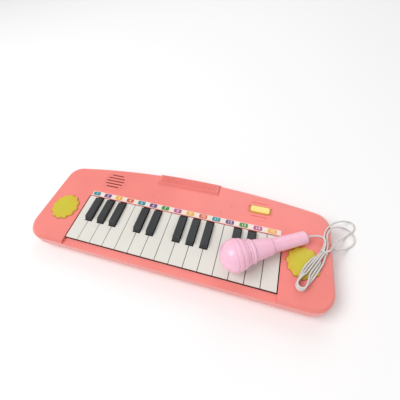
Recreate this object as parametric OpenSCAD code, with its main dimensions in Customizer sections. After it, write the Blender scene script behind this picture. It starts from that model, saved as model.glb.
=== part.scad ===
// Toy keyboard with fifteen white and ten black keys, and a toy microphone on a cord.
// X runs along the keys, Y from the player to the back, Z up from the table.

/* [Case] */
// Width of the case at its front corners
case_w = 378; // [320:1:460]
// Depth of the case from the front wall to the top of the rear arch
case_d = 131; // [116:1:160]
// Height of the flat top above the table
case_h = 29; // [26:0.5:40]
// Height of the joint line between the two halves
joint_h = 12; // [8:0.5:14]
// Wall thickness of both halves
wall = 2.2; // [1.6:0.1:3]
// How far the sides draw in from the front corners to the rear corners
side_taper = 4; // [0:0.5:12]
// Depth of the waist that breaks each side
waist_in = 1.2; // [0:0.1:3]
// Distance of the waist from the front wall
waist_y = 73; // [60:1:90]
// How far the rear arch rises over its corners
arch_rise = 13.5; // [8:0.5:20]
// Radius of the front corners in plan
front_r = 24; // [12:1:30]
// Radius of the rear corners in plan
rear_r = 20; // [12:1:26]
// Chamfer round the top edge
top_edge = 3; // [1:0.5:5]
// How far the bottom half draws in towards the table
bottom_taper = 7; // [0:0.5:10]
// Height of the rubber feet under the bottom half
foot_h = 2; // [1:0.5:4]

/* [Grip] */
// Width of the raised grip at the back
grip_w = 90; // [60:1:140]
// Depth of the raised grip
grip_d = 19; // [14:0.5:22]
// Height of the grip over the flat top
grip_h = 3.4; // [2:0.1:6]
// Distance between the ribs on the grip
rib_pitch = 2.6; // [2.2:0.1:5]
// Width of a rib
rib_w = 1.2; // [0.8:0.1:1.6]
// Height of a rib
rib_h = 0.7; // [0.4:0.1:1.2]

/* [Keys] */
// Distance from one white key to the next
key_pitch = 17.5; // [15:0.1:18.6]
// Gap between two white keys
key_gap = 0.8; // [0.5:0.1:1.4]
// Length of a white key that shows
white_len = 63.5; // [56:0.5:72]
// How far the white key tops lie under the flat top
white_drop = 1; // [0.5:0.5:3]
// Depth of the skirt round a white key
skirt_h = 6.5; // [4:0.5:8]
// Depth of a white key's front face
front_h = 10.5; // [8:0.5:11]
// Wall thickness of a key
key_wall = 1.6; // [1.2:0.1:2.2]
// Width of a black key
black_w = 8.6; // [7:0.1:10.5]
// Length of a black key that shows
black_len = 36; // [30:0.5:44]
// Height of a black key over the white keys
black_h = 5.5; // [4:0.5:9]
// Slope at the ends of a black key, in plan
black_slope = 3; // [1:0.5:6]
// Width of the arm that carries a key
arm_w = 4.6; // [3.5:0.1:5]
// Distance of the pivot behind the front edge of the rear panel
pivot_back = 8; // [6:0.5:9]
// Radius of the pivot rod
rod_r = 1.5; // [1:0.1:2]
// Radial clearance of a key on the pivot rod
rod_gap = 0.05; // [0.03:0.01:0.1]
// Travel at the front of a white key, in degrees of turn
key_turn = 2.8; // [2:0.1:3.4]

/* [Ledge and panel] */
// Depth of the ledge in front of the keys
ledge_d = 9; // [7:0.5:14]
// How far the ledge lies under the flat top
ledge_drop = 4; // [2:0.5:6]
// Gap round the keybed
bed_gap = 0.8; // [0.5:0.1:1.2]
// Width of the note strip
strip_w = 7; // [6:0.5:12]
// Thickness of the note strip
strip_t = 0.4; // [0.3:0.1:0.8]

/* [Speaker] */
// Distance of the speaker to the left of the middle
speaker_x = 107; // [90:1:120]
// Distance of the speaker and the switch from the front wall
speaker_y = 103.5; // [95:0.5:110]
// Radius of the speaker frame
speaker_r = 18; // [14:0.5:19]
// Radius of the round field that the grille slots fill
grille_r = 14; // [9:0.5:16]
// Distance between the grille slots
slot_pitch = 4.9; // [4:0.1:6]
// Width of a grille slot
slot_w = 1.9; // [1.2:0.1:3]

/* [Power switch] */
// Distance of the switch to the right of the middle
switch_x = 101; // [85:1:115]
// Length of the switch knob
knob_len = 23.5; // [16:0.5:26]
// Width of the switch knob
knob_w = 8.5; // [6:0.5:11]
// Height of the knob over the flat top
knob_h = 2; // [1:0.5:4]
// Travel of the knob
knob_travel = 4; // [2:0.5:6]
// Clearance round the knob
knob_gap = 0.5; // [0.3:0.1:1]

/* [Flower buttons] */
// Distance of each flower button from the middle
flower_x = 156; // [150:0.5:160]
// Distance of the flower buttons from the front wall
flower_y = 48; // [40:1:58]
// Mean radius of a flower button
flower_r = 18.2; // [14:0.2:19]
// Depth of its petals
petal_d = 0.9; // [0:0.1:1.6]
// Number of petals
petals = 12; // [6:1:16]
// Height of a flower button over the flat top
flower_h = 2; // [1:0.5:4]
// Travel of a flower button
flower_travel = 1.5; // [1:0.1:1.8]
// Clearance round a flower button
flower_gap = 0.4; // [0.3:0.1:0.8]

/* [Batteries] */
// Radius of a battery cell
cell_r = 7.1; // [5.2:0.1:7.2]
// Length of a battery cell
cell_len = 50; // [44:0.5:50.5]
// Number of cells end to end in each of the two rows
cells = 2; // [1:1:2]

/* [Microphone] */
// Radius of the ball head
head_r = 18.2; // [15:0.1:21]
// Radius of the collar behind the head
collar_r = 13.6; // [11:0.1:15]
// Radius of the handle at its collar end
handle_r = 11.8; // [9:0.1:13]
// Radius of the handle at its cord end
tail_r = 7.4; // [6:0.1:8]
// Distance from the middle of the head to the end of the handle
mic_len = 85; // [76:1:92]
// Wall thickness of the microphone
mic_wall = 1.6; // [1.2:0.1:2]

/* [Cord] */
// Diameter of the microphone cord
cord_d = 2; // [1.8:0.1:2.4]
// Width of the tied hank at its folds
hank_w = 11; // [9:0.1:12]
// Thickness of the tied hank
hank_t = 6; // [5:0.1:7]

/* [Hidden] */
white_n = 15;
// True where a black key follows the white key, from F upwards
black_after = [true, true, true, false, true, true, false];
function has_black(i) = i >= 0 && i < white_n - 1 && black_after[i % 7];
black_at = [for (i = [0 : white_n - 2]) if (has_black(i)) i];
black_n = len(black_at);

function two(n) = str(n < 10 ? "0" : "", n);
function white_name(i) = str("white_key_", two(i + 1));
function black_name(j) = str("black_key_", two(j + 1));

$fn = 48;
eps = 0.01;

// Positions worked out from the driving sizes
front_y = -case_d / 2;
back_y = case_d / 2;
half_w = case_w / 2;
rear_half = half_w - side_taper;
inner_top = case_h - wall;
ledge_top = case_h - ledge_drop;
bed_y = front_y + ledge_d;
bed_half = white_n * key_pitch / 2;
key_y = bed_y + bed_gap;
key_top = case_h - white_drop;
panel_y = key_y + white_len + 0.3;
black_y = key_y + white_len - black_len;
black_top = key_top + black_h;
pivot_y = panel_y + pivot_back;
barrel_r = rod_r + 1.5;
pivot_z = inner_top - barrel_r - 0.8;
arm_t = 2.4;
floor_z = foot_h;
floor_top = foot_h + wall;
speaker_cy = front_y + speaker_y;
flower_cy = front_y + flower_y;
function white_x(i) = -bed_half + key_pitch * i;
function black_x(j) = white_x(black_at[j] + 1);

// Case outline, drawn in by d
function arc(cx, cy, r, a0, a1, n) =
    [for (k = [0 : n]) [cx + r * cos(a0 + (a1 - a0) * k / n), cy + r * sin(a0 + (a1 - a0) * k / n)]];
arch_half = rear_half - rear_r;
arch_r = (pow(arch_half, 2) + pow(arch_rise, 2)) / (2 * arch_rise);
arch_cy = back_y - arch_r;
rear_cy = arch_cy + sqrt(pow(arch_r - rear_r, 2) - pow(arch_half, 2));
rear_turn = atan2(rear_cy - arch_cy, arch_half);
waist_cy = front_y + waist_y;
function side_x(y) = half_w - side_taper * (y - front_y - front_r) / (rear_cy - front_y - front_r);
function right_side(d) = concat(
    arc(half_w - front_r, front_y + front_r, front_r - d, -90, 0, 12),
    [[side_x(waist_cy - 4) - 0.3 * waist_in - d, waist_cy - 4]],
    [[side_x(waist_cy) - waist_in - d, waist_cy]],
    [[side_x(waist_cy + 4) - d, waist_cy + 4]],
    arc(arch_half, rear_cy, rear_r - d, 0, rear_turn, 12),
    [for (k = [1 : 11]) [
        (arch_r - d) * cos(rear_turn + (90 - rear_turn) * k / 12),
        arch_cy + (arch_r - d) * sin(rear_turn + (90 - rear_turn) * k / 12)
    ]],
    [[0, back_y - d]]
);
function mirrored(p) = [for (k = [len(p) - 2 : -1 : 0]) [-p[k][0], p[k][1]]];
function outline(d) = concat(right_side(d), mirrored(right_side(d)));

module slab(d, z0, z1) {
    translate([0, 0, z0])
        linear_extrude(z1 - z0)
            polygon(outline(d));
}

module box(x0, x1, y0, y1, z0, z1) {
    translate([x0, y0, z0])
        cube([x1 - x0, y1 - y0, z1 - z0]);
}

// Top half: walls, flat top with a chamfered edge, lowered ledge and ribbed grip
screw_at = [
    [half_w - 18, front_y + 19], [-half_w + 18, front_y + 19],
    [rear_half - 14, rear_cy], [-rear_half + 14, rear_cy],
    [-grip_w / 2 - 12, back_y - 9.5], [grip_w / 2 + 12, back_y - 9.5]
];
boss_r = 3.4;
pilot_r = 1.3;

module round_top(z0, z1) {
    hull() {
        slab(0, z0, z0 + eps);
        slab(top_edge, z1 - eps, z1);
    }
}

module keybed_cut() {
    box(-bed_half - bed_gap, bed_half + bed_gap, bed_y, panel_y, ledge_top - 20, case_h + 20);
    box(-bed_half - bed_gap, bed_half + bed_gap, front_y - 5, bed_y + 5, ledge_top, case_h + 20);
}

module grille_slots() {
    for (k = [-2 : 2]) {
        reach = sqrt(max(pow(grille_r - slot_w / 2, 2) - pow(k * slot_pitch, 2), 4));
        translate([-speaker_x, speaker_cy + k * slot_pitch, case_h - 6]) {
            box(-reach, reach, -slot_w / 2, slot_w / 2, 0, 12);
            for (s = [-reach, reach])
                translate([s, 0, 0])
                    cylinder(r = slot_w / 2, h = 12);
        }
    }
}

function flower(r, n) = [for (k = [0 : n - 1])
    (r + petal_d * cos(petals * k * 360 / n)) * [cos(k * 360 / n), sin(k * 360 / n)]];
flower_steps = 96;

module flower_plate(r, z0, z1) {
    translate([0, 0, z0])
        linear_extrude(z1 - z0)
            polygon(flower(r, flower_steps));
}

module grip_block(d, z0, z1) {
    intersection() {
        slab(d, z0, z1);
        box(-grip_w / 2 + d, grip_w / 2 - d, back_y - grip_d + d, back_y + 5, z0 - 1, z1 + 1);
    }
}

rib_n = floor((grip_w - 12) / rib_pitch);

module grip() {
    hull() {
        grip_block(0.4, case_h - 1, case_h);
        grip_block(3, case_h + grip_h - eps, case_h + grip_h);
    }
    for (k = [0 : rib_n])
        translate([(k - rib_n / 2) * rib_pitch, 0, 0])
            box(-rib_w / 2, rib_w / 2, back_y - grip_d + 4, back_y - 4.2,
                case_h + grip_h - eps, case_h + grip_h + rib_h);
}

module switch_recess() {
    slide = knob_travel / 2 + knob_gap;
    box(switch_x - knob_len / 2 - slide, switch_x + knob_len / 2 + slide,
        speaker_cy - knob_w / 2 - knob_gap, speaker_cy + knob_w / 2 + knob_gap, case_h - 1, case_h + 1);
    box(switch_x - 4 - slide, switch_x + 4 + slide, speaker_cy - 2, speaker_cy + 2, case_h - 6, case_h);
    for (s = [-1, 1])
        box(switch_x - 9.5, switch_x + 9.5, speaker_cy + s * 9.8 - 0.6, speaker_cy + s * 9.8 + 0.6,
            case_h - 0.8, case_h + 1);
}

module top_case() color([1, 0.6, 0.58]) {
    edge_z = case_h - top_edge;
    difference() {
        union() {
            slab(0, joint_h, edge_z);
            round_top(edge_z, case_h);
            grip();
        }
        difference() {
            slab(wall, joint_h - 1, inner_top);
            box(-bed_half - 4, bed_half + 4, front_y, bed_y, ledge_top - wall, case_h);
        }
        keybed_cut();
        grille_slots();
        switch_recess();
        for (s = [-1, 1])
            translate([s * flower_x, flower_cy, 0])
                flower_plate(flower_r + flower_gap, case_h - 8, case_h + 3);
        gland_hole();
    }
    for (p = screw_at)
        translate([p[0], p[1], joint_h])
            difference() {
                cylinder(r = boss_r, h = inner_top - joint_h);
                translate([0, 0, -1])
                    cylinder(r = pilot_r, h = 11);
            }
}

// Bottom half: a tray that draws in towards the table, with screw pillars and board pillars
frame_z = 7;
screw_seat = 4;
door_t = 1.4;
door_gap = 0.2;
cell_gap = 0.4;
cell_rows = 2;
bay_mid = 6;
bay_len = cells * cell_len + 8;
bay_x0 = bay_mid - bay_len / 2;
bay_x1 = bay_mid + bay_len / 2;
bay_y0 = pivot_y + barrel_r + 1;
bay_y1 = bay_y0 + cell_rows * (2 * cell_r + cell_gap) + cell_gap;
bay_top = floor_z + door_t + 0.4 + 2 * cell_r;
bay_roof = 1.2;
button_z = 12;
board_t = 1.6;
main_z = 8;
main_x0 = 72;
main_x1 = 118;
main_y0 = pivot_y + 8;
main_y1 = main_y0 + 24;

module tray(d, z0, z1) {
    hull() {
        slab(bottom_taper + d, z0, z0 + eps);
        slab(d, z1 - eps, z1);
    }
}

module pillar(x, y, z0, z1, r = 2.4) {
    translate([x, y, z0])
        cylinder(r = r, h = z1 - z0);
}

module board_pillars() {
    for (x = [main_x0 + 4, main_x1 - 4])
        for (y = [main_y0 + 4, main_y1 - 4])
            pillar(x, y, floor_top - eps, main_z);
    for (s = [-1, 1])
        for (t = [-1, 1])
            pillar(s * flower_x + t * 9, flower_cy, floor_top - eps, button_z);
    for (x = [-bed_half + 6, -44, 44, bed_half - 6])
        for (y = [black_y + 6, panel_y - 8])
            pillar(x, y, floor_top - eps, frame_z);
}

module battery_bay() {
    difference() {
        box(bay_x0 - wall, bay_x1 + wall, bay_y0 - wall, bay_y1 + wall, floor_z + 0.6, bay_top + bay_roof);
        box(bay_x0, bay_x1, bay_y0, bay_y1, floor_z - 1, bay_top);
    }
}

module bottom_case() color([0.95, 0.52, 0.5]) {
    difference() {
        union() {
            difference() {
                tray(0, floor_z, joint_h);
                tray(wall, floor_top, joint_h + 1);
            }
            board_pillars();
            battery_bay();
            for (p = screw_at)
                pillar(p[0], p[1], floor_z + 0.5, joint_h, boss_r);
        }
        box(bay_x0, bay_x1, bay_y0, bay_y1, floor_z - 1, bay_top);
        box(bay_x0 - 1.5, bay_x1 + 1.5, bay_y0 - 1.5, bay_y1 + 1.5, floor_z - 1, floor_z + door_t + door_gap);
        for (p = screw_at) {
            pillar(p[0], p[1], floor_z - 1, joint_h + 1, 1.7);
            pillar(p[0], p[1], floor_z - 1, floor_z + screw_seat, 3);
        }
    }
}

// Battery door, cells and contact plates
module battery_door() color([0.95, 0.52, 0.5]) {
    difference() {
        box(bay_x0 - 1.3, bay_x1 + 1.3, bay_y0 - 1.3, bay_y1 + 1.3, floor_z, floor_z + door_t);
        for (k = [-2 : 2])
            translate([(bay_x0 + bay_x1) / 2 + k * 4, bay_y1 - 7, floor_z - 1])
                box(-0.8, 0.8, -4, 4, 0, 1.5);
    }
}

function cell_y(k) = bay_y0 + cell_gap + cell_r + k * (2 * cell_r + cell_gap);
cell_z = floor_z + door_t + 0.2 + cell_r;
cell_x0 = bay_x0 + 4;

module battery_cell() {
    color([0.16, 0.17, 0.2])
        cylinder(r = cell_r, h = cell_len - 1.6);
    color("silver")
        translate([0, 0, cell_len - 1.6 - eps])
            cylinder(r = 2.7, h = 1.4 + eps);
}

module battery_cells()
    for (k = [0 : cell_rows - 1])
        for (m = [0 : cells - 1])
            translate([cell_x0 + (m + k) * cell_len, cell_y(k), cell_z])
                rotate([0, k == 0 ? 90 : -90, 0])
                    battery_cell();

// Each end of a row has a plate with a cone-shaped spring between it and the cell
module battery_contacts() color("silver") {
    reach = 3.1;
    for (k = [0 : cell_rows - 1])
        for (s = [0, 1])
            translate([s == 0 ? bay_x0 + 0.1 : bay_x1 - 0.1, cell_y(k), cell_z])
                rotate([0, s == 0 ? 90 : -90, 0]) {
                    translate([-4.5, -4.5, 0])
                        cube([9, 9, 0.6]);
                    translate([0, 0, 0.6 - eps])
                        cylinder(r1 = 3.4, r2 = 2, h = reach);
                }
}

// Frame under the keys, with one rib beside each support of the pivot rod
rib_t = 1.8;
plain_at = [for (i = [0 : white_n - 2]) if (!has_black(i)) i];
support_x = concat([-bed_half - 2.6, bed_half + 2.6], [for (i = plain_at) white_x(i + 1)]);

module key_frame() color([0.85, 0.85, 0.83]) {
    frame_t = 2;
    difference() {
        union() {
            box(-bed_half - 4, bed_half + 4, black_y - 2, panel_y - 5, frame_z, frame_z + frame_t);
            for (x = support_x) {
                box(x - rib_t / 2, x + rib_t / 2, strip_y + 9, panel_y - 5, frame_z, frame_z + 4);
                hull() {
                    box(x - rib_t / 2, x + rib_t / 2, panel_y - 9, panel_y - 5, frame_z, frame_z + 4);
                    translate([x, pivot_y, pivot_z])
                        rotate([0, 90, 0])
                            cylinder(r = barrel_r, h = rib_t, center = true, $fn = 32);
                }
            }
        }
        translate([0, pivot_y, pivot_z])
            rotate([0, 90, 0])
                cylinder(r = rod_r + 0.03, h = case_w, center = true);
    }
}

module pivot_rod() color("silver")
    translate([0, pivot_y, pivot_z])
        rotate([0, 90, 0])
            cylinder(r = rod_r, h = 2 * bed_half + 9, center = true);

// Contact board with the rubber strip that the keys press
strip_y = black_y + 19;
plunger_gap = 0.3 + (pivot_y - strip_y) * tan(key_turn);
rubber_t = 2.4;
rubber_top = frame_z + 2 + board_t + rubber_t;
plunger_bottom = rubber_top + plunger_gap;

module contact_board() color([0.2, 0.45, 0.3])
    box(-bed_half, bed_half, strip_y - 8, strip_y + 8, frame_z + 2, frame_z + 2 + board_t);

module contact_strip() color([0.75, 0.75, 0.75]) {
    box(-bed_half + 1, bed_half - 1, strip_y - 4, strip_y + 4, rubber_top - rubber_t, rubber_top - 1);
    for (i = [0 : white_n - 1])
        pillar(white_mid(i), strip_y, rubber_top - 1 - eps, rubber_top, 2);
    for (j = [0 : black_n - 1])
        pillar(black_x(j), strip_y, rubber_top - 1 - eps, rubber_top, 2);
}

// Keys: a white key is a cap with notches for its black neighbours, an arm and a barrel
notch = black_w / 2 + 0.9;
function edge_left(i, rear) = white_x(i) + (rear && has_black(i - 1) ? notch : key_gap / 2);
function edge_right(i, rear) = white_x(i + 1) - (rear && has_black(i) ? notch : key_gap / 2);
function white_mid(i) = (edge_left(i, true) + edge_right(i, true)) / 2;
function white_plan(i, d) = [
    [edge_left(i, false) + d, key_y + d], [edge_right(i, false) - d, key_y + d],
    [edge_right(i, false) - d, black_y - 0.9 - d], [edge_right(i, true) - d, black_y - 0.9 - d],
    [edge_right(i, true) - d, key_y + white_len - d], [edge_left(i, true) + d, key_y + white_len - d],
    [edge_left(i, true) + d, black_y - 0.9 - d], [edge_left(i, false) + d, black_y - 0.9 - d]
];

module key_arm(x, start_y) {
    difference() {
        union() {
            box(x - arm_w / 2, x + arm_w / 2, start_y, pivot_y, pivot_z - arm_t / 2, pivot_z + arm_t / 2);
            translate([x, pivot_y, pivot_z])
                rotate([0, 90, 0])
                    cylinder(r = barrel_r, h = arm_w, center = true);
        }
        translate([x, pivot_y, pivot_z])
            rotate([0, 90, 0])
                cylinder(r = rod_r + rod_gap, h = arm_w + 1, center = true);
    }
}

module white_key(i) color([0.97, 0.96, 0.92]) {
    plate_z = key_top - key_wall;
    difference() {
        translate([0, 0, key_top - skirt_h])
            linear_extrude(skirt_h)
                polygon(white_plan(i, 0));
        translate([0, 0, key_top - skirt_h - 1])
            linear_extrude(skirt_h + 1 - key_wall)
                polygon(white_plan(i, key_wall));
    }
    box(edge_left(i, false), edge_right(i, false), key_y, key_y + key_wall, key_top - front_h, key_top - 1);
    box(white_mid(i) - 1.2, white_mid(i) + 1.2, strip_y - 1.2, strip_y + 1.2, plunger_bottom, plate_z + eps);
    key_arm(white_mid(i), key_y + white_len - key_wall - eps);
}

// A black key is a bar with sloped ends over a stem that drops between the white keys
module black_key(j) color([0.13, 0.13, 0.14]) {
    x = black_x(j);
    y1 = key_y + white_len - 1;
    base = key_top - skirt_h;
    translate([x - black_w / 2, 0, 0])
        rotate([90, 0, 90])
            linear_extrude(black_w)
                polygon([
                    [black_y, base], [y1, base], [y1, key_top - 0.5], [y1 - black_slope, black_top],
                    [black_y + black_slope, black_top], [black_y, key_top + 1]
                ]);
    box(x - 1.2, x + 1.2, strip_y - 1.2, strip_y + 1.2, plunger_bottom, base + eps);
    key_arm(x, y1 - 2);
}

// Note strip along the front of the rear panel
module note_strip() color([0.97, 0.96, 0.95])
    box(-bed_half + 2, bed_half - 2, panel_y + 0.5, panel_y + 0.5 + strip_w, case_h, case_h + strip_t);

// Speaker under the grille: frame, paper cone and magnet
speaker_z = inner_top - 0.1;
magnet_r = 9;

module speaker_frame() color([0.45, 0.45, 0.47])
    translate([-speaker_x, speaker_cy, 0])
        rotate_extrude()
            polygon([
                [speaker_r, speaker_z], [speaker_r, speaker_z - 1.2], [magnet_r + 1, speaker_z - 8],
                [3.5, speaker_z - 8], [3.5, speaker_z - 7], [magnet_r, speaker_z - 7],
                [speaker_r - 2.2, speaker_z - 1.2], [speaker_r - 2.2, speaker_z]
            ]);

module speaker_cone() color([0.12, 0.12, 0.13])
    translate([-speaker_x, speaker_cy, 0])
        rotate_extrude()
            polygon([
                [0, speaker_z - 3.7], [3, speaker_z - 4.1], [4, speaker_z - 5.5],
                [speaker_r - 2.6, speaker_z - 0.3], [speaker_r - 2.6, speaker_z - 0.9],
                [4.2, speaker_z - 6.2], [3, speaker_z - 6.2], [0, speaker_z - 4.5]
            ]);

module speaker_magnet() color([0.3, 0.3, 0.32])
    translate([-speaker_x, speaker_cy, speaker_z - 13])
        cylinder(r = magnet_r, h = 5);

// Flower buttons with a flange under the top and a stem over a small switch
flange_t = 1.6;
flange_top = inner_top - 0.3;
switch_h = 4;
stem_bottom = button_z + board_t + switch_h + flower_travel + 0.3;

module flower_button(s) color([0.82, 0.82, 0.2])
    translate([s * flower_x, flower_cy, 0]) {
        flower_plate(flower_r, flange_top - flange_t, case_h + flower_h - 0.8);
        flower_plate(flower_r - 1, case_h + flower_h - 0.8 - eps, case_h + flower_h);
        translate([0, 0, flange_top - flange_t])
            cylinder(r = flower_r + petal_d + 1.6, h = flange_t);
        translate([0, 0, stem_bottom])
            cylinder(r = 2, h = flange_top - flange_t - stem_bottom + eps);
    }

module button_boards() {
    for (s = [-1, 1])
        translate([s * flower_x, flower_cy, button_z]) {
            color([0.2, 0.45, 0.3])
                box(-12, 12, -7, 7, 0, board_t);
            color([0.2, 0.2, 0.2])
                box(-3, 3, -3, 3, board_t - eps, board_t + switch_h - 0.8);
            color([0.8, 0.8, 0.8])
                translate([0, 0, board_t + switch_h - 0.8 - eps])
                    cylinder(r = 1.6, h = 0.8 + eps);
        }
}

module button_lamps() color([0.95, 0.95, 0.9])
    for (s = [-1, 1])
        for (t = [-1, 1])
            translate([s * flower_x + t * 6.5, flower_cy, button_z + board_t]) {
                cylinder(r = 1.5, h = 3);
                translate([0, 0, 3])
                    sphere(r = 1.5);
            }

// Power switch: a knob that slides in its recess and the switch body under the top
knob_z = case_h - 1 + 0.3;

module switch_knob() color([0.98, 0.93, 0.6]) {
    box(switch_x - knob_len / 2, switch_x + knob_len / 2, speaker_cy - knob_w / 2, speaker_cy + knob_w / 2,
        knob_z, case_h + knob_h);
    box(switch_x - 3.5, switch_x + 3.5, speaker_cy - 1.5, speaker_cy + 1.5, inner_top - 2.2, knob_z + eps);
}

module slide_switch() color([0.7, 0.7, 0.72])
    difference() {
        box(switch_x - 11, switch_x + 11, speaker_cy - 4, speaker_cy + 4, inner_top - 7.2, inner_top);
        box(switch_x - 7, switch_x + 7, speaker_cy - 2, speaker_cy + 2, inner_top - 2.6, inner_top + 1);
    }

// Main board and its parts
module main_board() color([0.2, 0.45, 0.3])
    box(main_x0, main_x1, main_y0, main_y1, main_z, main_z + board_t);

module board_chips() color([0.15, 0.15, 0.16]) {
    z = main_z + board_t;
    translate([main_x0 + 22, main_y0 + 15, z])
        cylinder(r = 7, h = 2);
    box(main_x0 + 38, main_x0 + 46, main_y0 + 8, main_y0 + 13, z, z + 1.8);
    for (k = [0 : 2])
        pillar(main_x0 + 12 + 9 * k, main_y1 - 5.5, z, z + 8, 2.5);
    for (k = [0 : 4])
        box(main_x0 + 8 + 4 * k, main_x0 + 10 + 4 * k, main_y0 + 2, main_y0 + 5, z, z + 0.8);
}

// Case screws, driven from below, and rubber feet
module case_screws() color("silver")
    for (p = screw_at) {
        pillar(p[0], p[1], floor_z + screw_seat - 2, floor_z + screw_seat, 2.7);
        pillar(p[0], p[1], floor_z + screw_seat - eps, joint_h + 8, pilot_r - 0.05);
    }

foot_r = 6;

module feet() color([0.25, 0.25, 0.25])
    for (s = [-1, 1])
        for (y = [front_y + 24, back_y - 32])
            pillar(s * (half_w - 34), y, 0, foot_h, foot_r);

// Microphone on its side: its head lies on two black keys and its tail on the right cheek
mic_gap = 0.8;
mic_rest = [0.8, 10.2];
mic_at = [
    black_x(8) + black_w / 2 + mic_rest[0],
    black_y + black_slope - mic_rest[1],
    black_top + max(sqrt(pow(head_r + mic_gap, 2) - pow(norm(mic_rest), 2)), collar_r + 1.9)
];
mic_yaw = 32.2;
mic_dip = asin((mic_at[2] - case_h - tail_r - mic_gap) / mic_len);
collar_s = sqrt(pow(head_r, 2) - pow(collar_r - 0.7, 2));
handle_s = collar_s + 7;
step_s = collar_s + 29;

module mic_place()
    translate(mic_at)
        rotate([0, 90 + mic_dip, mic_yaw])
            children();

module mic_head() color([1, 0.71, 0.82])
    mic_place()
        difference() {
            sphere(r = head_r, $fn = 64);
            sphere(r = head_r - mic_wall, $fn = 64);
            translate([0, 0, collar_s])
                cylinder(r = head_r, h = head_r);
        }

module mic_collar() color([1, 0.71, 0.82])
    mic_place()
        rotate_extrude()
            polygon([
                [8, collar_s], [collar_r - 1.2, collar_s], [collar_r, collar_s + 1],
                [collar_r, collar_s + 2], [collar_r - 0.9, collar_s + 2.8],
                [collar_r - 0.9, collar_s + 3.4], [collar_r, collar_s + 4.2],
                [collar_r, collar_s + 5.4], [collar_r - 0.9, handle_s], [8, handle_s]
            ]);

module mic_handle() color([1, 0.71, 0.82])
    mic_place()
        rotate_extrude()
            polygon([
                [handle_r - mic_wall, handle_s], [handle_r, handle_s], [handle_r - 2.3, step_s],
                [handle_r - 3.8, step_s + 1], [tail_r, mic_len - 1], [tail_r - 0.8, mic_len],
                [2.2, mic_len], [2.2, mic_len - mic_wall], [tail_r - mic_wall, mic_len - mic_wall],
                [handle_r - 3.8 - mic_wall, step_s], [handle_r - 2.3 - mic_wall, step_s - 1]
            ]);

module mic_capsule() color([0.6, 0.6, 0.62])
    mic_place()
        translate([0, 0, collar_s - 4])
            difference() {
                union() {
                    cylinder(r = 5, h = 4);
                    translate([0, 0, 4 - eps])
                        cylinder(r = 8, h = 3);
                }
                translate([0, 0, -1])
                    cylinder(r = 3, h = 2);
            }

module mic_grommet() color([0.93, 0.93, 0.92])
    mic_place()
        rotate_extrude()
            polygon([
                [0, mic_len - mic_wall - 1.2], [3, mic_len - mic_wall - 1.2], [3, mic_len - mic_wall],
                [2.2, mic_len - mic_wall], [2.2, mic_len], [2.6, mic_len], [1.6, mic_len + 3],
                [0, mic_len + 3]
            ]);

// Cord: points chosen by hand, in the middle of the cord. It runs from the microphone into the
// tied hank, out over the side and back as the rear loop, and by the front loop to its gland.
lead_route = [
    [157.6, 11, 36.8], [161.2, 13, 36.1], [165.6, 14.7, 35.6], [170, 15.4, 35.8],
    [172.6, 15.2, 36], [174.8, 14.3, 36.2], [176.3, 12.6, 36.3], [176.9, 9.4, 36.3]
];
loop_rear_route = [
    [176.5, 10, 33], [176.7, 15, 31.2], [177, 20, 30.1], [178.2, 26, 30.1], [181, 32, 30.4],
    [185.8, 38, 29.3], [191.5, 44.8, 24], [198, 51.6, 17], [204.8, 58, 9.5], [210.6, 62.2, 3.8],
    [215.6, 63.4, 1.4], [219.4, 61, 1.1], [220.3, 56.2, 1.1], [217.6, 50.4, 1.1], [213, 45, 1.1],
    [207, 38.4, 3.4], [201, 31, 9.5], [195.3, 23.4, 17], [190.2, 16.4, 24.2], [186.6, 10.6, 29.2],
    [184.4, 6, 32.2], [183, 2.6, 33]
];
loop_front_route = [
    [180, 9.8, 33], [180, 15, 31.2], [180.2, 20, 30.1], [181, 24.6, 30.1], [183.2, 29.2, 30],
    [186.6, 33.8, 27.8], [191, 38.8, 22.6], [197, 44.6, 15], [203.6, 49, 8], [209.6, 50.2, 4.6],
    [214.6, 47, 3.9], [218.4, 42.4, 2.4], [219.4, 37.4, 1.1], [216.6, 31.6, 1.1], [211.8, 26.6, 1.6],
    [207, 22, 4.6], [203, 18, 9.5], [199, 14.4, 14.6], [195.2, 12, 17.6], [191, 11.5, 18]
];
hank_route = [[153.8, -43.6], [162.2, -26], [170.2, -12], [176, -1.6], [178.2, 4.6]];
hank_half = [hank_w / 2, hank_w / 2 + 1.1, hank_w / 2 + 1.1, hank_w / 2 + 0.3, hank_w / 2];
hank_z = case_h + flower_h + 0.3;

function vsub(a, b) = [for (k = [0 : len(a) - 1]) a[k] - b[k]];
function unit(v) = v / norm(v);
function along(p, k) = unit(vsub(p[min(k + 1, len(p) - 1)], p[max(k - 1, 0)]));
function heading(k) = atan2(along(hank_route, k)[1], along(hank_route, k)[0]);

module cord_tube(route) {
    sides = 8;
    n = len(route);
    points = [for (k = [0 : n - 1])
        let (t = along(route, k), u = unit(cross(t, [0.3, 0.1, 1])), v = cross(u, t))
            for (a = [0 : sides - 1])
                route[k] + cord_d / 2 * (cos(a * 360 / sides) * u + sin(a * 360 / sides) * v)];
    rings = [for (k = [0 : n - 2]) for (a = [0 : sides - 1])
        [k * sides + a, k * sides + (a + 1) % sides, (k + 1) * sides + (a + 1) % sides, (k + 1) * sides + a]];
    caps = [[for (a = [sides - 1 : -1 : 0]) a], [for (a = [0 : sides - 1]) (n - 1) * sides + a]];
    polyhedron(points = points, faces = concat(rings, caps));
}

module cord_lead() color([0.93, 0.93, 0.9])
    cord_tube(lead_route);

module cord_loop_rear() color([0.93, 0.93, 0.9])
    cord_tube(loop_rear_route);

module cord_loop_front() color([0.93, 0.93, 0.9])
    cord_tube(loop_front_route);

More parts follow.
